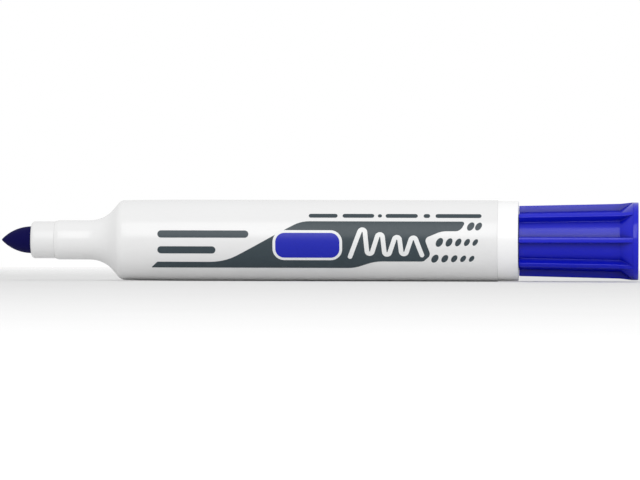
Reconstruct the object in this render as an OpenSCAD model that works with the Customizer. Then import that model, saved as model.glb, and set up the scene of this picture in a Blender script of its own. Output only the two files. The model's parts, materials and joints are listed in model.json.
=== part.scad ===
// Bullet-tip whiteboard marker with its cap pushed on the rear.
// It lies along X on z = 0, nib towards -X. Every sub-part is turned about the marker's own axis,
// and its profile is drawn with the distance from the axis on x and the distance from the nib's tip on y.

/* [Overall] */
// Length with the cap pushed on the rear
total_len = 140; // [138:0.5:142]

/* [Barrel] */
// Diameter of the barrel where it is straight
barrel_d = 17.8; // [17.6:0.05:18.2]
// Diameter of the barrel just behind the shoulder
front_d = 17.5; // [17.3:0.05:17.6]
// Length from the nib's tip to where the barrel becomes straight
straight_from = 38; // [34:1:44]
// Wall thickness of the barrel
barrel_wall = 1.35; // [1.2:0.05:1.5]
// Number of ribs inside the barrel that centre the ink reservoir
inner_ribs = 4; // [3:1:6]
// Width of each inner rib
inner_rib_w = 0.8; // [0.6:0.1:1.2]

/* [Shoulder] */
// Radius of the hollow between the nozzle and the shoulder
hollow_r = 6.8; // [6.4:0.1:7.2]
// Slope of the shoulder against the axis, in degrees
slope = 50; // [47:1:53]
// Radius of the shoulder's outer corner
corner_r = 1.9; // [1.5:0.1:2.3]

/* [Nozzle] */
// Diameter of the nozzle's base
base_d = 8.64; // [8.6:0.02:8.7]
// Length of the nozzle's base, from its front edge to the hollow
base_len = 7.65; // [7.4:0.05:8]
// Diameter of the seat that the cap seals on
seat_d = 8.12; // [8.06:0.02:8.16]
// Length of the seat
seat_len = 5.25; // [5:0.05:5.4]
// Radius of the seat's front edge
seat_round = 0.85; // [0.6:0.05:0.95]

/* [Nib] */
// Diameter of the nib
nib_d = 5.9; // [5.8:0.02:6.16]
// Length of the nib in front of its holder
nib_out = 6.6; // [6.2:0.1:6.6]
// Radius of the arc that shapes the bullet tip
bullet_r = 9.1; // [9:0.1:10]
// Diameter of the thinner stem behind the nib's shoulder
stem_d = 5.2; // [4.8:0.1:5.4]

/* [Rear plug] */
// Diameter of the collar
collar_d = 17.48; // [17.2:0.02:17.48]
// Length of the collar
collar_len = 4.5; // [4:0.1:5]
// Length of the stub that the cap is pushed on
stub_len = 10.6; // [9:0.1:10.8]

/* [Cap] */
// Length of the cap
cap_len = 26.1; // [26:0.1:27]
// Diameter over the ribs at the cap's mouth
mouth_d = 15.38; // [15.2:0.02:15.8]
// Diameter over the ribs where the grooves end
flare_d = 16.38; // [16.2:0.02:16.7]
// Diameter of the rim at the closed end
rim_d = 17.02; // [16.9:0.02:17.4]
// Width of the rim
rim_w = 1.2; // [1:0.1:1.8]
// Depth of the grooves between the ribs
groove = 1.45; // [1.2:0.05:1.5]
// Number of ribs round the cap
cap_ribs = 8; // [6:1:10]
// Width of each rib at its crest
crest_w = 1.05; // [0.9:0.05:1.3]
// Width of each rib at its foot
foot_w = 1.5; // [1.4:0.05:1.8]
// Turn of the cap on the stub, in degrees
cap_turn = -1.6; // [-22.5:0.1:22.5]

/* [Hidden] */
$fn = 96;

// Fits and gaps
press_gap = 0.02;  // pieces pushed together for good
slip_gap = 0.04;   // the cap's liner on the nozzle and on the stub
mouth_gap = 0.12;  // between the collar and the pushed-on cap
beyond = 1;        // how far a cutter or rib runs past what it cuts or joins

// Radii
barrel_r = barrel_d / 2;
front_r = front_d / 2;
base_r = base_d / 2;
seat_r = seat_d / 2;
nib_r = nib_d / 2;
stem_r = stem_d / 2;
collar_r = collar_d / 2;
mouth_r = mouth_d / 2;
flare_r = flare_d / 2;
rim_r = rim_d / 2;

// Stations along the axis, measured from the nib's tip
seat_end = nib_out + seat_len;
base_chamfer = 0.75;
base_end = seat_end + base_len;
cap_mouth = total_len - cap_len;
collar_end = cap_mouth - mouth_gap;
barrel_end = collar_end - collar_len;

// Shoulder: a hollow arc, a straight slope and a rounded corner, each tangent to the next
hollow_c = [base_r + hollow_r, base_end];
slope_dir = [sin(slope), cos(slope)];
slope_in = [-cos(slope), sin(slope)];
slope_start = hollow_c + hollow_r * slope_in;
slope_run = (front_r - corner_r - slope_start.x - corner_r * slope_in.x) / slope_dir.x;
slope_end = slope_start + slope_run * slope_dir;
corner_c = slope_end + corner_r * slope_in;

// Inside of the barrel
bore_r = barrel_r - barrel_wall;
plug_r = 3.5;
throat_start = 22.2;
throat_end = 29;
rib_reach = 0.55;

// Nib holder and nib
holder_len = 21 - seat_end;
step_gap = 0.15;
lead = 0.4;

// Ink reservoir
wrap_r = bore_r - rib_reach - 0.06;
wrap_t = 0.12;
core_r = wrap_r - wrap_t - press_gap;
reservoir_start = throat_end + 0.2;
socket_len = 4;

// Rear plug
skirt_len = 7;
skirt_wall = 1.1;
web = 1.3;
stub_wall = 1.05;
collar_edge = 0.15;
stub_edge = 0.6;
reservoir_end = barrel_end - skirt_len - 0.1;

// Cap
end_wall = 1.2;
groove_end = total_len - 4;
rim_start = total_len - rim_w;
rim_edge = 0.25;
shell_bore_r = 5.25;
liner_start = cap_mouth + 3.2;
liner_step = cap_mouth + 11.2;
liner_end_wall = 0.85;
liner_end = total_len - end_wall;
liner_lead = 0.6;

// Stands the profile up on the marker's axis
module turned() {
    translate([-total_len / 2, 0, barrel_r])
        rotate([0, 90, 0])
            rotate_extrude()
                children();
}

// Places solids drawn along z, with the nib's tip at z = 0, on the marker's axis
module on_axis() {
    translate([-total_len / 2, 0, barrel_r])
        rotate([0, 90, 0])
            children();
}

// Rectangle between two radii and two stations
module band(r_in, r_out, from, to) {
    translate([r_in, from])
        square([r_out - r_in, to - from]);
}

// Disc that rounds a corner or hollows a slope
module round_at(centre, radius) {
    translate(centre)
        circle(radius);
}

module barrel_outline() {
    difference() {
        union() {
            polygon([
                [0, seat_end],
                [seat_r, seat_end],
                [base_r, seat_end + base_chamfer],
                [base_r, base_end],
                slope_start,
                slope_end,
                corner_c,
                [front_r, corner_c.y],
                [barrel_r, straight_from],
                [barrel_r, barrel_end],
                [0, barrel_end]
            ]);
            round_at(corner_c, corner_r);
        }
        round_at(hollow_c, hollow_r);
    }
}

module barrel_hollow() {
    polygon([
        [0, seat_end - beyond],
        [plug_r, seat_end - beyond],
        [plug_r, throat_start],
        [bore_r, throat_end],
        [bore_r, barrel_end + beyond],
        [0, barrel_end + beyond]
    ]);
}

module barrel() {
    color("whitesmoke") {
        turned()
            difference() {
                barrel_outline();
                barrel_hollow();
            }
        on_axis()
            for (i = [0 : inner_ribs - 1])
                rotate(45 + i * 360 / inner_ribs)
                    translate([bore_r - rib_reach, -inner_rib_w / 2, throat_end])
                        cube([rib_reach + barrel_wall / 2, inner_rib_w, reservoir_end - throat_end]);
    }
}

module nib_holder() {
    color("white")
        turned()
            difference() {
                union() {
                    band(0, seat_r - seat_round, nib_out, seat_end);
                    band(0, seat_r, nib_out + seat_round, seat_end);
                    round_at([seat_r - seat_round, nib_out + seat_round], seat_round);
                    polygon([
                        [0, seat_end],
                        [plug_r - press_gap, seat_end],
                        [plug_r - press_gap, seat_end + holder_len - lead],
                        [plug_r - lead, seat_end + holder_len],
                        [0, seat_end + holder_len]
                    ]);
                }
                band(0, nib_r + press_gap, nib_out - beyond, seat_end - step_gap);
                band(0, stem_r + press_gap, nib_out, seat_end + holder_len + beyond);
            }
}

module nib() {
    bullet_c = [nib_r - bullet_r, nib_out];
    nib_shoulder = seat_end - step_gap;
    nib_end = reservoir_start + socket_len - step_gap;
    color("midnightblue")
        turned() {
            // Bullet: an arc that runs into the straight rod and ends in a small flat at the tip
            intersection() {
                round_at(bullet_c, bullet_r);
                band(0, nib_r, 0, nib_out);
            }
            band(0, nib_r, nib_out, nib_shoulder);
            polygon([
                [0, nib_shoulder],
                [stem_r, nib_shoulder],
                [stem_r, nib_end - lead],
                [stem_r - lead, nib_end],
                [0, nib_end]
            ]);
        }
}

module reservoir_core() {
    color("royalblue")
        turned()
            difference() {
                band(0, core_r, reservoir_start, reservoir_end);
                band(0, stem_r + press_gap, reservoir_start - beyond, reservoir_start + socket_len);
            }
}

module reservoir_wrap() {
    color("lightskyblue")
        turned()
            band(wrap_r - wrap_t, wrap_r, reservoir_start, reservoir_end);
}

module rear_plug() {
    stub_end = collar_end + stub_len;
    skirt_r = bore_r - press_gap;
    color("white")
        turned()
            polygon([
                [skirt_r - skirt_wall, barrel_end - skirt_len],
                [skirt_r, barrel_end - skirt_len],
                [skirt_r, barrel_end],
                [collar_r, barrel_end],
                [collar_r, collar_end - collar_edge],
                [collar_r - collar_edge, collar_end],
                [base_r, collar_end],
                [base_r, stub_end - stub_edge],
                [base_r - stub_edge, stub_end],
                [0, stub_end],
                [0, stub_end - stub_wall],
                [base_r - stub_wall, stub_end - stub_wall],
                [base_r - stub_wall, collar_end - web],
                [skirt_r - skirt_wall, collar_end - web]
            ]);
}

// Outline of the cap between its grooves, with the ramp that ends each groove
module groove_floor() {
    polygon([
        [0, cap_mouth],
        [mouth_r - groove, cap_mouth],
        [flare_r - groove, groove_end],
        [rim_r, rim_start],
        [rim_r, total_len - rim_edge],
        [rim_r - rim_edge, total_len],
        [0, total_len]
    ]);
}

// Outline of the cap over its ribs
module rib_crests() {
    polygon([
        [0, cap_mouth],
        [mouth_r, cap_mouth],
        [flare_r, groove_end],
        [rim_r, rim_start],
        [0, rim_start]
    ]);
}

module cap_shell() {
    color("mediumblue")
        difference() {
            union() {
                turned()
                    groove_floor();
                intersection() {
                    turned()
                        rib_crests();
                    on_axis()
                        for (i = [0 : cap_ribs - 1])
                            rotate(cap_turn + i * 360 / cap_ribs)
                                linear_extrude(total_len)
                                    polygon([
                                        [shell_bore_r, -foot_w / 2],
                                        [rim_r, -crest_w / 2],
                                        [rim_r, crest_w / 2],
                                        [shell_bore_r, foot_w / 2]
                                    ]);
                }
            }
            turned()
                band(0, shell_bore_r, cap_mouth - beyond, total_len - end_wall);
        }
}

module cap_liner() {
    color("lightgrey")
        turned()
            difference() {
                band(0, shell_bore_r - press_gap, liner_start, liner_end);
                polygon([
                    [0, liner_start - beyond],
                    [base_r + slip_gap + liner_lead, liner_start - beyond],
                    [base_r + slip_gap + liner_lead, liner_start],
                    [base_r + slip_gap, liner_start + liner_lead],
                    [base_r + slip_gap, liner_step],
                    [seat_r + slip_gap, liner_step],
                    [seat_r + slip_gap, liner_end - liner_end_wall],
                    [0, liner_end - liner_end_wall]
                ]);
            }
}

barrel();
nib_holder();
nib();
reservoir_core();
reservoir_wrap();
rear_plug();
cap_shell();
cap_liner();
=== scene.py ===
"""Felt tip whiteboard marker, lying on its side with its cap pushed on the rear.

The visible pieces are turned or lofted about the marker's own axis and take the place of the CAD nodes.
Every size below is in millimetres unless it says otherwise, and mm() turns it into metres.
"""
import json
import math

import bmesh
import bpy
from mathutils import Matrix, Vector

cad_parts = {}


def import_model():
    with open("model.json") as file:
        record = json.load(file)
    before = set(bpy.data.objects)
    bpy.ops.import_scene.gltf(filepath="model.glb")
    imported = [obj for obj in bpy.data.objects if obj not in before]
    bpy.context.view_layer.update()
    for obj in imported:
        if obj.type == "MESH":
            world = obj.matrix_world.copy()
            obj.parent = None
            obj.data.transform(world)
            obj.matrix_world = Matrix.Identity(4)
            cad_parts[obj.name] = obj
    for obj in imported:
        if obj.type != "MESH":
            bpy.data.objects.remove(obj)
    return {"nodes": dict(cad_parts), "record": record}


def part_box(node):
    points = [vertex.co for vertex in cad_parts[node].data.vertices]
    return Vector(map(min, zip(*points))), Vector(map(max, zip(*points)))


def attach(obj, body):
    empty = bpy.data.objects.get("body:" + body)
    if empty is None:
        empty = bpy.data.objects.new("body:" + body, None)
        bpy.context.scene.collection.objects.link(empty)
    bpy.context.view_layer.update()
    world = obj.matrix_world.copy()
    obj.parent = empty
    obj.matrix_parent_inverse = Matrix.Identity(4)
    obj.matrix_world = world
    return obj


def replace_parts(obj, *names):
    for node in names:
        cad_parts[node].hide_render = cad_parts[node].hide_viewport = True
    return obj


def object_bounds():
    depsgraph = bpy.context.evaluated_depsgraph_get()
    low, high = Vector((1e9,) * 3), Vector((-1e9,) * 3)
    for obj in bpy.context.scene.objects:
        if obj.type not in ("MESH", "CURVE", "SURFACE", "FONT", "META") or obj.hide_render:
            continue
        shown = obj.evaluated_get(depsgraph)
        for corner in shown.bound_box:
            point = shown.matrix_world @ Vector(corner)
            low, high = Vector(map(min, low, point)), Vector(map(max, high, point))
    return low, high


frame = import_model()
cad_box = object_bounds()

# ---------------------------------------------------------------- sizes from the frame, in metres


def mm(value):
    return value / 1000


def mount(name):
    """(start, end, radius) of a round mount along the marker, in metres."""
    found = next(m for m in frame["record"]["mounts"] if m["name"] == name)
    half = mm(found["dims"]["length_mm"]) / 2
    return found["pos_m"][0] - half, found["pos_m"][0] + half, mm(found["dims"]["r_mm"])


def across(node):
    """Largest radius of a node about the marker's axis."""
    lo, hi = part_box(node)
    return (hi.z - lo.z) / 2


AXIS_Z = next(m["pos_m"][2] for m in frame["record"]["mounts"] if m["name"] == "barrel_grip")
SEAT_START, SEAT_END, SEAT_R = mount("nozzle_seat")
BASE_START, BASE_END, BASE_R = mount("nozzle_base")
GRIP_START, GRIP_END, BARREL_R = mount("barrel_grip")
NIB_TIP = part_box("nib")[0].x
NIB_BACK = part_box("nib")[1].x
HOLDER_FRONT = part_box("nib_holder")[0].x
HOLDER_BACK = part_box("nib_holder")[1].x
PLUG_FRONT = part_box("rear_plug")[0].x
STUB_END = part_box("rear_plug")[1].x
COLLAR_R = across("rear_plug")
CAP_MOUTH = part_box("cap_shell")[0].x
CAP_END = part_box("cap_shell")[1].x
RIM_R = across("cap_shell")
LINER_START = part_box("cap_liner")[0].x
LINER_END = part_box("cap_liner")[1].x
LINER_R = across("cap_liner")

# ---------------------------------------------------------------- profiles and meshes

LATHE_STEPS = 160
LONGEST_STEP = mm(1.5)
ARC_STEP = math.radians(7)


def arc_points(corner, before, after, radius, steps=None):
    """Points of the arc that rounds a corner between its two neighbours."""
    back = (before - corner).normalized()
    on = (after - corner).normalized()
    half = back.angle(on) / 2
    reach = radius / math.tan(half)
    room = 0.999 * min((before - corner).length, (after - corner).length)
    if reach > room:
        raise ValueError(f"a radius of {radius} doesn't fit at {corner}")
    centre = corner + (back + on).normalized() * radius / math.sin(half)
    start = corner + back * reach - centre
    turn = math.pi - 2 * half
    if start.y * back.x < start.x * back.y:
        turn = -turn
    if steps is None:
        steps = max(2, math.ceil(abs(turn) / ARC_STEP))
    return [centre + Matrix.Rotation(turn * i / steps, 2) @ start for i in range(steps + 1)]


def rounded(corners):
    """Closed outline through corners (x, y) or (x, y, radius), the latter rounded with a true arc."""
    points = [Vector(c[:2]) for c in corners]
    outline = []
    for i, corner in enumerate(corners):
        if len(corner) == 3:
            outline += arc_points(points[i], points[i - 1], points[(i + 1) % len(points)], corner[2])
        else:
            outline.append(points[i])
    return outline


def stepped(outline, longest):
    """The same outline with no side longer than this, so that shading stays true along it."""
    points = []
    for a, b in zip(outline, outline[1:] + outline[:1]):
        parts = max(1, math.ceil((b - a).length / longest))
        points += [a.lerp(b, i / parts) for i in range(parts)]
    return points


def piece(name, mesh, body, material):
    obj = bpy.data.objects.new(name, mesh)
    bpy.context.scene.collection.objects.link(obj)
    obj.data.materials.append(material)
    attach(obj, body)
    return obj


def smooth_mesh(name, verts, faces, sharp=35):
    mesh = bpy.data.meshes.new(name)
    mesh.from_pydata(verts, [], faces)
    bm = bmesh.new()
    bm.from_mesh(mesh)
    bmesh.ops.recalc_face_normals(bm, faces=bm.faces)
    bm.to_mesh(mesh)
    bm.free()
    mesh.shade_smooth()
    mesh.set_sharp_from_angle(angle=math.radians(sharp))
    return mesh


def rings_mesh(name, rings, closed):
    """Skins rings of equally many points.

    A ring of one point closes an end, and closed joins the last ring to the first.
    """
    verts, starts = [], []
    for ring in rings:
        starts.append(len(verts))
        verts += ring
    faces = []
    pairs = list(zip(range(len(rings)), range(1, len(rings))))
    if closed:
        pairs.append((len(rings) - 1, 0))
    for i, j in pairs:
        a, b = starts[i], starts[j]
        count = max(len(rings[i]), len(rings[j]))
        for k in range(count):
            n = (k + 1) % count
            if len(rings[i]) == 1:
                faces.append((a, b + n, b + k))
            elif len(rings[j]) == 1:
                faces.append((a + k, a + n, b))
            else:
                faces.append((a + k, a + n, b + n, b + k))
    return smooth_mesh(name, verts, faces)


def around(x, radius, angle):
    """Point at a station x, a radius and an angle that is 0 towards -Y and rises towards +Z."""
    return (x, -radius * math.cos(angle), AXIS_Z + radius * math.sin(angle))


def turned_mesh(name, outline):
    """Turns a closed (x, radius) outline about the marker's axis. It may start and end on the axis."""
    outline = stepped(outline, LONGEST_STEP)
    on_axis = any(p.y < 1e-9 for p in outline)
    if on_axis:
        first = next(i for i, p in enumerate(outline) if p.y < 1e-9 and outline[i - 1].y < 1e-9)
        outline = outline[first:] + outline[:first]
        kept = [i for i, p in enumerate(outline) if p.y >= 1e-9]
        outline = outline[kept[0] - 1 : kept[-1] + 2]
    rings = []
    for p in outline:
        if p.y < 1e-9:
            rings.append([around(p.x, 0, 0)])
        else:
            rings.append([around(p.x, p.y, math.tau * k / LATHE_STEPS) for k in range(LATHE_STEPS)])
    return rings_mesh(name, rings, not on_axis)


# ---------------------------------------------------------------- materials


class Paint:
    """A principled material whose colour, roughness and bump come from noise in the marker's own space."""

    def __init__(self, name, **constants):
        self.material = bpy.data.materials.new(name)
        self.material.use_nodes = True
        self.tree = self.material.node_tree
        self.shader = self.tree.nodes["Principled BSDF"]
        for socket, value in constants.items():
            self.shader.inputs[socket.replace("_", " ")].default_value = value
        self.place = self.tree.nodes.new("ShaderNodeTexCoord").outputs["Object"]

    def noise(self, grain, detail=3, stretch=1):
        """Noise with grains of about this size in metres, drawn out along the marker by stretch."""
        mapping = self.tree.nodes.new("ShaderNodeMapping")
        mapping.inputs["Scale"].default_value = (1 / (grain * stretch), 1 / grain, 1 / grain)
        noise = self.tree.nodes.new("ShaderNodeTexNoise")
        noise.inputs["Scale"].default_value = 1
        noise.inputs["Detail"].default_value = detail
        self.tree.links.new(self.place, mapping.inputs["Vector"])
        self.tree.links.new(mapping.outputs["Vector"], noise.inputs["Vector"])
        return noise.outputs["Fac"]

    def colour(self, noise, low, high):
        mix = self.tree.nodes.new("ShaderNodeMix")
        mix.data_type = "RGBA"
        first, second = (s for s in mix.inputs if s.type == "RGBA")
        first.default_value = (*low, 1)
        second.default_value = (*high, 1)
        result = next(s for s in mix.outputs if s.type == "RGBA")
        self.tree.links.new(noise, mix.inputs[0])
        self.tree.links.new(result, self.shader.inputs["Base Color"])
        return self

    def paint_crevice_shade(self, reach, dark, gloss):
        """Painted shade: darker towards dark and duller where the piece's own folds close in on each other
        within this reach, an ambient-occlusion mask standing in for the shade and dimmed reflections in
        grooves.
        """
        closeness = self.tree.nodes.new("ShaderNodeAmbientOcclusion")
        closeness.only_local = True
        closeness.inputs["Distance"].default_value = reach
        for level, low, high in (("openness", 0, 1), ("gloss", gloss, 0.5)):
            spread = self.tree.nodes.new("ShaderNodeMapRange")
            spread.name = level
            spread.inputs["From Min"].default_value = 0.4
            spread.inputs["From Max"].default_value = 1
            spread.inputs["To Min"].default_value = low
            spread.inputs["To Max"].default_value = high
            self.tree.links.new(closeness.outputs["AO"], spread.inputs["Value"])
        # Painted shade: the mottled colour mixes towards the dark colour as the piece's own occlusion
        # closes in.
        outer = self.shader.inputs["Base Color"].links[0].from_socket
        mix = self.tree.nodes.new("ShaderNodeMix")
        mix.data_type = "RGBA"
        shade_colour, open_colour = (s for s in mix.inputs if s.type == "RGBA")
        shade_colour.default_value = (*dark, 1)
        self.tree.links.new(self.tree.nodes["openness"].outputs["Result"], mix.inputs[0])
        self.tree.links.new(outer, open_colour)
        result = next(s for s in mix.outputs if s.type == "RGBA")
        self.tree.links.new(result, self.shader.inputs["Base Color"])
        # Painted dimming of reflections: the specular level falls with the same occlusion.
        specular = self.shader.inputs["Specular IOR Level"]
        self.tree.links.new(self.tree.nodes["gloss"].outputs["Result"], specular)
        return self

    def fade(self, near, far):
        """Solid as far back as near and clear from far on, along +Y in metres."""
        split = self.tree.nodes.new("ShaderNodeSeparateXYZ")
        spread = self.tree.nodes.new("ShaderNodeMapRange")
        spread.inputs["From Min"].default_value = near
        spread.inputs["From Max"].default_value = far
        spread.inputs["To Min"].default_value = 1
        spread.inputs["To Max"].default_value = 0
        self.tree.links.new(self.place, split.inputs["Vector"])
        self.tree.links.new(split.outputs["Y"], spread.inputs["Value"])
        self.tree.links.new(spread.outputs["Result"], self.shader.inputs["Alpha"])
        return self

    def roughness(self, noise, low, high):
        spread = self.tree.nodes.new("ShaderNodeMapRange")
        spread.inputs["To Min"].default_value = low
        spread.inputs["To Max"].default_value = high
        self.tree.links.new(noise, spread.inputs["Value"])
        self.tree.links.new(spread.outputs["Result"], self.shader.inputs["Roughness"])
        return self

    def bump(self, noise, depth, strength=1):
        bump = self.tree.nodes.new("ShaderNodeBump")
        bump.inputs["Strength"].default_value = strength
        bump.inputs["Distance"].default_value = depth
        self.tree.links.new(noise, bump.inputs["Height"])
        previous = self.shader.inputs["Normal"].links
        if previous:
            self.tree.links.new(previous[0].from_socket, bump.inputs["Normal"])
        self.tree.links.new(bump.outputs["Normal"], self.shader.inputs["Normal"])
        return self


def moulded(name, low, high, rough, ior=1.5, shade_colour=None):
    """Injection-moulded plastic: nearly even colour, a faint mottle in the gloss and a fine skin.

    Where a colour for the grooves is given, they turn towards it as painted shade, and their gloss drops
    with it.
    """
    paint = Paint(name, IOR=ior)
    paint.colour(paint.noise(mm(9), detail=2, stretch=3), low, high)
    if shade_colour:
        # Painted shade and dimmed reflections in the grooves, from the piece's own occlusion.
        paint.paint_crevice_shade(mm(3), shade_colour, gloss=0.15)
    paint.roughness(paint.noise(mm(1.4), stretch=4), *rough)
    paint.bump(paint.noise(mm(0.25)), mm(0.002), strength=0.25)
    return paint.material


def fibre(name, low, high, bundle, depth):
    """Bonded fibres that run along the marker."""
    paint = Paint(name, Sheen_Weight=0.02, Sheen_Roughness=0.6, IOR=1.4, Specular_IOR_Level=0.1)
    paint.colour(paint.noise(bundle, detail=4, stretch=14), low, high)
    paint.roughness(paint.noise(bundle * 2), 0.62, 0.85)
    paint.bump(paint.noise(bundle, detail=4, stretch=14), depth)
    paint.bump(paint.noise(bundle / 2), depth / 2, strength=0.6)
    return paint.material


def ink(name, low, high):
    """Pad-printed ink: a thin, slightly uneven film that keeps some of the plastic's gloss."""
    paint = Paint(name, IOR=1.4)
    paint.colour(paint.noise(mm(0.5), detail=4), low, high)
    paint.roughness(paint.noise(mm(0.8)), 0.26, 0.36)
    paint.bump(paint.noise(mm(0.12)), mm(0.0015), strength=0.4)
    return paint.material


BARREL_WHITE = moulded("barrel_white", (0.78, 0.78, 0.78), (0.80, 0.80, 0.80), (0.20, 0.27))
HOLDER_WHITE = moulded("holder_white", (0.76, 0.76, 0.76), (0.78, 0.78, 0.78), (0.28, 0.36))
PLUG_WHITE = moulded("plug_white", (0.90, 0.90, 0.90), (0.92, 0.92, 0.92), (0.20, 0.28))
# Colour of the painted shade that the cap's grooves darken towards.
CAP_PAINTED_SHADE = (0.0004, 0.001, 0.12)
CAP_LOW = (0.002, 0.006, 0.50)
CAP_HIGH = (0.003, 0.008, 0.54)
CAP_BLUE = moulded("cap_blue", CAP_LOW, CAP_HIGH, (0.16, 0.23), ior=1.4, shade_colour=CAP_PAINTED_SHADE)
LINER_NATURAL = moulded("liner_natural", (0.55, 0.57, 0.60), (0.60, 0.62, 0.64), (0.34, 0.42))
FILM_CLEAR = moulded("film_clear", (0.70, 0.76, 0.82), (0.76, 0.82, 0.88), (0.12, 0.20))
NIB_FELT = fibre("nib_felt", (0.0015, 0.001, 0.048), (0.003, 0.002, 0.066), mm(0.05), mm(0.012))
CORE_FIBRE = fibre("core_fibre", (0.02, 0.03, 0.33), (0.05, 0.07, 0.50), mm(0.10), mm(0.02))
SLATE_INK = ink("slate_ink", (0.032, 0.049, 0.059), (0.039, 0.057, 0.068))
WHITE_INK = ink("white_ink", (0.78, 0.79, 0.79), (0.82, 0.83, 0.83))
ACCENT_INK = ink("accent_ink", (0.003, 0.009, 0.38), (0.005, 0.012, 0.43))

# ---------------------------------------------------------------- barrel, nozzle, nib and rear plug

HOLLOW_R = mm(6.8)
SLOPE = math.radians(50)
CORNER_R = mm(1.9)
FRONT_R = mm(8.75)
BORE_R = mm(7.55)
PLUG_BORE_R = mm(3.5)
THROAT_START = NIB_TIP + mm(22.2)
THROAT_END = NIB_TIP + mm(29)
NIB_R = across("nib")
STEM_R = mm(2.6)
NIB_SHOULDER = SEAT_END - mm(0.15)
PRESS_GAP = mm(0.02)
COLLAR_END = CAP_MOUTH - mm(0.12)
CORNER_START = BASE_END + HOLLOW_R * math.tan(SLOPE / 2)
CORNER_END = CORNER_START + (FRONT_R - BASE_R) / math.tan(SLOPE)


def barrel():
    outline = rounded([
        (SEAT_END, SEAT_R, mm(0.1)),
        (BASE_START, BASE_R, mm(1.2)),
        (CORNER_START, BASE_R, HOLLOW_R),
        (CORNER_END, FRONT_R, CORNER_R),
        (GRIP_START, BARREL_R, mm(500)),
        (GRIP_END, BARREL_R, mm(0.1)),
        (GRIP_END, BORE_R),
        (THROAT_END, BORE_R),
        (THROAT_START, PLUG_BORE_R),
        (SEAT_END, PLUG_BORE_R),
    ])
    mesh = turned_mesh("barrel_body", outline)
    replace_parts(piece("barrel_body", mesh, "marker", BARREL_WHITE), "barrel")


def nib_holder():
    outline = rounded([
        (HOLDER_FRONT, NIB_R + PRESS_GAP, mm(0.08)),
        (HOLDER_FRONT, SEAT_R, mm(0.85)),
        (SEAT_END, SEAT_R, mm(0.1)),
        (SEAT_END, PLUG_BORE_R - PRESS_GAP),
        (HOLDER_BACK, PLUG_BORE_R - PRESS_GAP, mm(0.4)),
        (HOLDER_BACK, STEM_R + PRESS_GAP),
        (NIB_SHOULDER, STEM_R + PRESS_GAP),
        (NIB_SHOULDER, NIB_R + PRESS_GAP),
    ])
    mesh = turned_mesh("nib_holder_body", outline)
    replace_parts(piece("nib_holder_body", mesh, "marker", HOLDER_WHITE), "nib_holder")


def nib():
    """A bullet: a small ball at the tip, tangent to a long arc that runs into the straight rod."""
    bullet_r = mm(9.1)
    centre = Vector((HOLDER_FRONT - NIB_TIP, NIB_R - bullet_r))
    ball_r = (bullet_r**2 - centre.length_squared) / (2 * (bullet_r - centre.x))
    away = (Vector((ball_r, 0)) - centre).normalized()
    ball_angle = math.atan2(away.y, -away.x)
    arc_angle = math.atan2(away.y, away.x)
    steps = 12
    ball = [
        Vector((ball_r - ball_r * math.cos(a), ball_r * math.sin(a)))
        for a in (ball_angle * i / steps for i in range(steps))
    ]
    arc = [
        centre + bullet_r * Vector((math.cos(a), math.sin(a)))
        for a in (arc_angle + (math.pi / 2 - arc_angle) * i / steps for i in range(steps + 1))
    ]
    front = [p + Vector((NIB_TIP, 0)) for p in ball + arc]
    back = rounded([
        (HOLDER_FRONT, 0),
        (HOLDER_FRONT, NIB_R),
        (NIB_SHOULDER, NIB_R),
        (NIB_SHOULDER, STEM_R),
        (NIB_BACK, STEM_R, mm(0.4)),
        (NIB_BACK, 0),
    ])[2:]
    mesh = turned_mesh("nib_felt_body", front + back)
    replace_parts(piece("nib_felt_body", mesh, "marker", NIB_FELT), "nib")


def rear_plug():
    skirt_r = BORE_R - PRESS_GAP
    skirt_in = skirt_r - mm(1.1)
    wall = mm(1.05)
    web = mm(1.3)
    outline = rounded([
        (STUB_END - wall, 0),
        (STUB_END, 0),
        (STUB_END, BASE_R, mm(0.6)),
        (COLLAR_END, BASE_R, mm(0.15)),
        (COLLAR_END, COLLAR_R, mm(0.18)),
        (GRIP_END, COLLAR_R, mm(0.05)),
        (GRIP_END, skirt_r),
        (PLUG_FRONT, skirt_r, mm(0.3)),
        (PLUG_FRONT, skirt_in, mm(0.3)),
        (COLLAR_END - web, skirt_in, mm(0.5)),
        (COLLAR_END - web, BASE_R - wall, mm(0.3)),
        (STUB_END - wall, BASE_R - wall, mm(0.4)),
    ])
    mesh = turned_mesh("rear_plug_body", outline)
    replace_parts(piece("rear_plug_body", mesh, "marker", PLUG_WHITE), "rear_plug")


# ---------------------------------------------------------------- cap

CAP_RIBS = 8
CAP_TURN = math.radians(1.6)
GROOVE_END = CAP_END - mm(4)
RIM_START = CAP_END - mm(1.2)
MOUTH_R = mm(7.69)
FLARE_R = mm(8.19)
GROOVE = mm(1.45)
SHELL_BORE_R = LINER_R + PRESS_GAP
END_WALL = mm(1.2)
FOOT_W = mm(1.5)
CREST_W = mm(1.05)
FILLET = mm(0.12)
CREST_ROUND = mm(0.16)
FLOOR_STEPS = 10


def radius_at(path, x):
    """Radius at station x of a path of (x, radius) points."""
    for a, b in zip(path, path[1:]):
        if a.x <= x <= b.x:
            return a.y + (b.y - a.y) * (x - a.x) / (b.x - a.x)
    return path[-1].y


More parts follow.
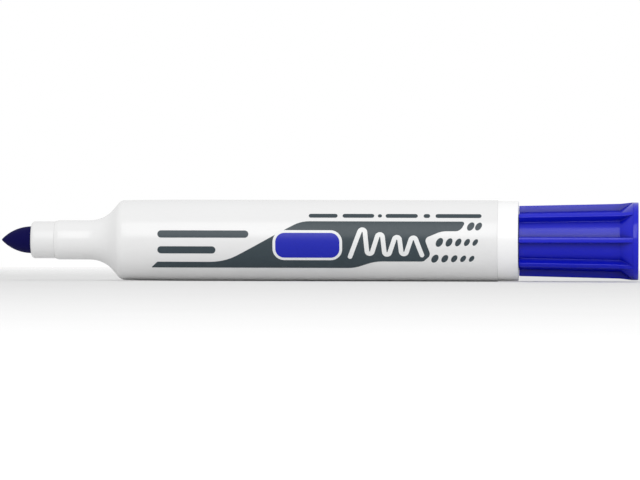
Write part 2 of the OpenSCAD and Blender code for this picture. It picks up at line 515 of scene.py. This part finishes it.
def rib_half(crest, floor):
    """(angle, radius) points from the middle of a rib's crest to the middle of the groove beside it."""

    def at(radius):
        height_share = (radius - SHELL_BORE_R) / (RIM_R - SHELL_BORE_R)
        half = (FOOT_W + (CREST_W - FOOT_W) * height_share) / 2
        return Vector((half, math.sqrt(radius**2 - half**2)))

    height = crest - floor
    top, foot = at(crest), at(floor)
    along_crest = Vector((-top.y, top.x)) / crest
    along_floor = Vector((foot.y, -foot.x)) / floor
    crest_edge = top + along_crest * top.x
    shoulder = arc_points(top, crest_edge, foot, min(CREST_ROUND, height / 4), steps=4)
    root = arc_points(foot, top, foot + along_floor * height, min(FILLET, height / 4), steps=5)
    points = [(0, crest)] + [(math.atan2(p.x, p.y), p.length) for p in shoulder + root]
    start = points[-1][0]
    middle = math.pi / CAP_RIBS
    points += [(start + (middle - start) * i / FLOOR_STEPS, floor) for i in range(1, FLOOR_STEPS + 1)]
    return points


def ribbed(crest, floor):
    """(angle, radius) points right round the cap at one station."""
    half = rib_half(crest, floor)
    one = [(-a, r) for a, r in reversed(half[1:-1])] + half
    turns = (CAP_TURN + math.tau * i / CAP_RIBS for i in range(CAP_RIBS))
    return [(turn + a, r) for turn in turns for a, r in one]


def cap_shell():
    floor = rounded([
        (CAP_MOUTH, MOUTH_R - GROOVE),
        (GROOVE_END, FLARE_R - GROOVE, mm(0.7)),
        (RIM_START, RIM_R),
        (RIM_START, 0),
    ])[:-1]
    crest = rounded([
        (CAP_MOUTH, MOUTH_R),
        (GROOVE_END, FLARE_R, mm(8)),
        (RIM_START, RIM_R),
        (RIM_START, 0),
    ])[:-1]
    edge = mm(0.08)
    rib_end = RIM_START - mm(0.04)
    length = GROOVE_END - CAP_MOUTH
    stations = [CAP_MOUTH + edge + length * i / 18 for i in range(18)]
    stations += [p.x for p in floor if GROOVE_END - mm(0.5) < p.x < rib_end]
    stations += [GROOVE_END + (rib_end - GROOVE_END) * i / 8 for i in range(2, 9)]
    angles = [a for a, _ in ribbed(MOUTH_R, MOUTH_R - GROOVE)]

    def circle(x, radius):
        return [around(x, radius, a) for a in angles]

    def grooved(x, inset=0):
        section = ribbed(radius_at(crest, x) - inset, radius_at(floor, x) - inset)
        return [around(x, r, a) for a, r in section]

    rim = rounded([
        (CAP_END, 0),
        (CAP_END, RIM_R, mm(0.25)),
        (RIM_START, RIM_R, mm(0.05)),
        (RIM_START, 0),
    ])[1:-1]
    rings = [[around(CAP_END, 0, 0)]]
    rings += [circle(CAP_END, rim[0].y * share) for share in (0.3, 0.6, 0.9)]
    rings += [circle(p.x, p.y) for p in rim if p.y > RIM_R - mm(0.26) and p.x > RIM_START]
    rings += [grooved(x) for x in sorted(set(stations), reverse=True)]
    rings.append(grooved(CAP_MOUTH, edge))
    rings.append(circle(CAP_MOUTH, SHELL_BORE_R + edge))
    bore_start = CAP_MOUTH + edge
    bore_end = CAP_END - END_WALL
    rings += [circle(bore_start + (bore_end - bore_start) * i / 12, SHELL_BORE_R) for i in range(13)]
    rings.append([around(bore_end, 0, 0)])
    mesh = rings_mesh("cap_shell_body", rings, False)
    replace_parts(piece("cap_shell_body", mesh, "cap", CAP_BLUE), "cap_shell")


def cap_liner():
    slip_gap = mm(0.04)
    wide, narrow = BASE_R + slip_gap, SEAT_R + slip_gap
    step = CAP_MOUTH + mm(11.2)
    floor = LINER_END - mm(0.85)
    outline = rounded([
        (floor, 0),
        (LINER_END, 0),
        (LINER_END, LINER_R, mm(0.3)),
        (LINER_START, LINER_R, mm(0.15)),
        (LINER_START, wide + mm(0.6), mm(0.05)),
        (LINER_START + mm(0.6), wide, mm(0.4)),
        (step, wide),
        (step + mm(0.1), narrow),
        (floor, narrow, mm(0.6)),
    ])
    mesh = turned_mesh("cap_liner_body", outline)
    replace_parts(piece("cap_liner_body", mesh, "cap", LINER_NATURAL), "cap_liner")


# ---------------------------------------------------------------- printing

INK_T = mm(0.03)
INK_STEP = mm(0.4)


def barrel_radius(x):
    """Radius of the barrel's surface where the print lies."""
    if x >= GRIP_START:
        return BARREL_R
    share = (x - CORNER_END) / (GRIP_START - CORNER_END)
    return FRONT_R + share * (BARREL_R - FRONT_R)


def printed(name, outlines, layer, material):
    """Flat outlines (x along the marker, height round the barrel) as a film of ink wrapped on the barrel.

    Each layer lies on the one below it.
    """
    bm = bmesh.new()
    for outline in outlines:
        bm.faces.new([bm.verts.new((p.x, p.y, 0)) for p in outline])
    bmesh.ops.triangulate(bm, faces=bm.faces[:])
    heights = [v.co.y for v in bm.verts]
    steps = range(math.ceil(min(heights) / INK_STEP), math.floor(max(heights) / INK_STEP) + 1)
    cuts = [(Vector((0, INK_STEP * k, 0)), Vector((0, 1, 0))) for k in steps]
    cuts.append((Vector((GRIP_START, 0, 0)), Vector((1, 0, 0))))
    for place, normal in cuts:
        geometry = bm.verts[:] + bm.edges[:] + bm.faces[:]
        bmesh.ops.bisect_plane(bm, geom=geometry, plane_co=place, plane_no=normal)
    bm.verts.index_update()
    verts = []
    for lift in ((layer - 0.5) * INK_T, (layer + 1) * INK_T):
        for v in bm.verts:
            radius = barrel_radius(v.co.x)
            verts.append(around(v.co.x, radius + lift, v.co.y / radius))
    count = len(bm.verts)
    under = [[v.index for v in f.verts] for f in bm.faces]
    above = [[i + count for i in face] for face in under]
    rims = [[v.index for v in e.verts] for e in bm.edges if e.is_boundary]
    walls = [[a, b, b + count, a + count] for a, b in rims]
    bm.free()
    mesh = smooth_mesh(name, verts, under + above + walls, sharp=40)
    return piece(name, mesh, "marker", material)


def in_mm(corners):
    """Outline from corners (x from the marker's middle, height round the barrel, rounding) in mm."""
    return rounded([tuple(mm(c) for c in corner) for corner in corners])


def bar(x0, x1, y0, y1, radius):
    return in_mm([(x0, y0, radius), (x1, y0, radius), (x1, y1, radius), (x0, y1, radius)])


def oval(x, y, width, height, lean):
    """Slanted ellipse."""
    angles = [math.tau * i / 24 for i in range(24)]
    return [
        Vector((mm(x + width / 2 * math.cos(a) + lean * math.sin(a)), mm(y + height / 2 * math.sin(a))))
        for a in angles
    ]


def stroke(corners, width):
    """Outline of a pen stroke with round ends through corners (x, y, rounding) in millimetres."""
    points = [Vector((mm(c[0]), mm(c[1]))) for c in corners]
    line = [points[0]]
    for i in range(1, len(points) - 1):
        line += arc_points(points[i], points[i - 1], points[i + 1], mm(corners[i][2]))
    line.append(points[-1])
    half = mm(width) / 2
    left, right = [], []
    for i, p in enumerate(line):
        along = (line[min(i + 1, len(line) - 1)] - line[max(i - 1, 0)]).normalized()
        side = Vector((-along.y, along.x)) * half
        left.append(p + side)
        right.append(p - side)

    def round_end(centre, start):
        return [centre + Matrix.Rotation(-math.pi * i / 8, 2) @ (start - centre) for i in range(1, 8)]

    return left + round_end(line[-1], left[-1]) + right[::-1] + round_end(line[0], right[0])


def printing():
    """A generic print: a slate sweep with an ink swatch and a trial stroke, plain bars and dots."""
    sweep = in_mm([
        (-36.4, -6.55, 0.1),
        (-35.0, -4.98, 0.5),
        (-20.4, -4.98, 12),
        (-3.5, 4.35, 7),
        (32.4, 4.35, 0.5),
        (31.2, 2.1, 1.8),
        (27.2, 2.1, 5),
        (23.4, 0.5, 1),
        (24.8, -3.2, 1.2),
        (23.2, -4.75, 1.2),
        (12.5, -4.75, 9),
        (8.1, -6.55, 7),
    ])
    title = [bar(-34.9, -15.0, 0.55, 2.15, 0.79), bar(-34.9, -22.2, -2.95, -1.35, 0.79)]
    words = ((-1.9, 4.4), (5.5, 12.4), (14.9, 21.9), (23.2, 24.6), (25.8, 35.8))
    caption = [bar(x0, x1, 5.28, 6.32, 0.5) for x0, x1 in words] + [oval(13.65, 5.8, 0.9, 0.9, 0)]
    rows = ((2, 33.5, 3.2, 1.75), (5, 26.7, -0.35, 2.15), (5, 25.7, -4.05, 2.2))
    dots = [
        oval(x + pitch * i - 0.05 * i * i, y, 1.5 - 0.11 * i, 1.95 - 0.13 * i, 0.3)
        for count, x, y, pitch in rows
        for i in range(count)
    ]
    printed("print_sweep", [sweep], 0, SLATE_INK)
    printed("print_captions", title + caption + dots, 0, SLATE_INK)
    swatch = bar(-9.1, 4.9, -3.85, 1.65, 2.0)
    swatch_edge = bar(-9.7, 5.5, -4.45, 2.25, 2.6)
    trial = stroke([
        (7.2, -3.6, 0),
        (10.2, 4.4, 0.6),
        (11.2, -5.2, 0.6),
        (14.0, 3.6, 0.6),
        (15.0, -5.2, 0.6),
        (17.7, 2.8, 0.6),
        (18.7, -5.0, 0.6),
        (21.0, 1.8, 0.6),
        (22.9, -3.2, 0),
    ], 1.0)
    printed("print_white", [swatch_edge, trial], 1, WHITE_INK)
    printed("print_accent", [swatch], 2, ACCENT_INK)


# ---------------------------------------------------------------- inside, which only a cut-away shows


def inside():
    for node, material in (("reservoir_core", CORE_FIBRE), ("reservoir_wrap", FILM_CLEAR)):
        frame["nodes"][node].material_slots[0].material = material


# ---------------------------------------------------------------- studio


def look_at(obj, place, target, roll=0):
    obj.location = place
    turn = (Vector(target) - Vector(place)).to_track_quat("-Z", "Y").to_matrix()
    obj.rotation_euler = (turn @ Matrix.Rotation(roll, 3, "Z")).to_euler()


def softbox(name, x, elevation, height, width, brightness):
    """Area light in front, its elevation and height in degrees as the marker sees them.

    The brightness is its radiance, where 1 is the white of the backdrop.
    """
    distance = 1.2
    light = bpy.data.lights.new(name, "AREA")
    light.shape = "RECTANGLE"
    light.size = width
    light.size_y = 2 * distance * math.tan(math.radians(height / 2))
    light.energy = brightness * 4 * light.size * light.size_y
    obj = bpy.data.objects.new(name, light)
    bpy.context.scene.collection.objects.link(obj)
    rise = math.radians(elevation)
    target = Vector((x, 0, AXIS_Z))
    look_at(obj, target + distance * Vector((0, -math.cos(rise), math.sin(rise))), target)
    obj.visible_camera = False


def floor():
    """A wide table top that fades into the white backdrop a little way behind the marker."""
    side, front, back = 12, -12, 0.6
    fade_start = 0.12
    corners = [(-side, front, 0), (side, front, 0), (side, back, 0), (-side, back, 0)]
    mesh = bpy.data.meshes.new("studio_floor")
    mesh.from_pydata(corners, [], [(0, 1, 2, 3)])
    obj = bpy.data.objects.new("studio_floor", mesh)
    bpy.context.scene.collection.objects.link(obj)
    paint = Paint("floor_paper", IOR=1.45)
    paint.colour(paint.noise(mm(40)), (0.74, 0.74, 0.74), (0.76, 0.76, 0.76))
    paint.roughness(paint.noise(mm(3)), 0.75, 0.85)
    paint.fade(fade_start, back)
    obj.data.materials.append(paint.material)


def world(strength):
    """White to the camera, and a dimmer even light on everything else."""
    made = bpy.data.worlds.new("studio")
    made.use_nodes = True
    tree = made.node_tree
    backdrop = tree.nodes["Background"]
    ray = tree.nodes.new("ShaderNodeLightPath")
    spread = tree.nodes.new("ShaderNodeMapRange")
    spread.inputs["To Min"].default_value = strength
    spread.inputs["To Max"].default_value = 1
    backdrop.inputs["Color"].default_value = (1, 1, 1, 1)
    tree.links.new(ray.outputs["Is Camera Ray"], spread.inputs["Value"])
    tree.links.new(spread.outputs["Result"], backdrop.inputs["Strength"])
    bpy.context.scene.world = made


def camera():
    """Level with the marker, 1.2 m away, a little towards the cap's end, with a long lens."""
    data = bpy.data.cameras.new("camera")
    obj = bpy.data.objects.new("camera", data)
    bpy.context.scene.collection.objects.link(obj)
    lo, hi = cad_box
    centre = (lo + hi) / 2 + Vector((mm(0.17), 0, mm(0.11)))
    distance = 1.2
    yaw = math.radians(3.25)
    place = centre + distance * Vector((math.sin(yaw), -math.cos(yaw), 0))
    look_at(obj, place, centre, roll=math.radians(0.15))
    data.sensor_width = 36
    picture_width = mm(140.5)
    data.lens = data.sensor_width * distance / picture_width
    data.clip_start = 0.05
    data.clip_end = 30
    bpy.context.scene.camera = obj


barrel()
nib_holder()
nib()
rear_plug()
cap_shell()
cap_liner()
printing()
inside()
floor()
world(0.84)
softbox("low_softbox", -0.06, 20, 20, 0.36, 2.7)
softbox("high_softbox", 0.06, 41, 22, 0.75, 1.95)
camera()
bpy.context.scene.view_settings.view_transform = "Standard"
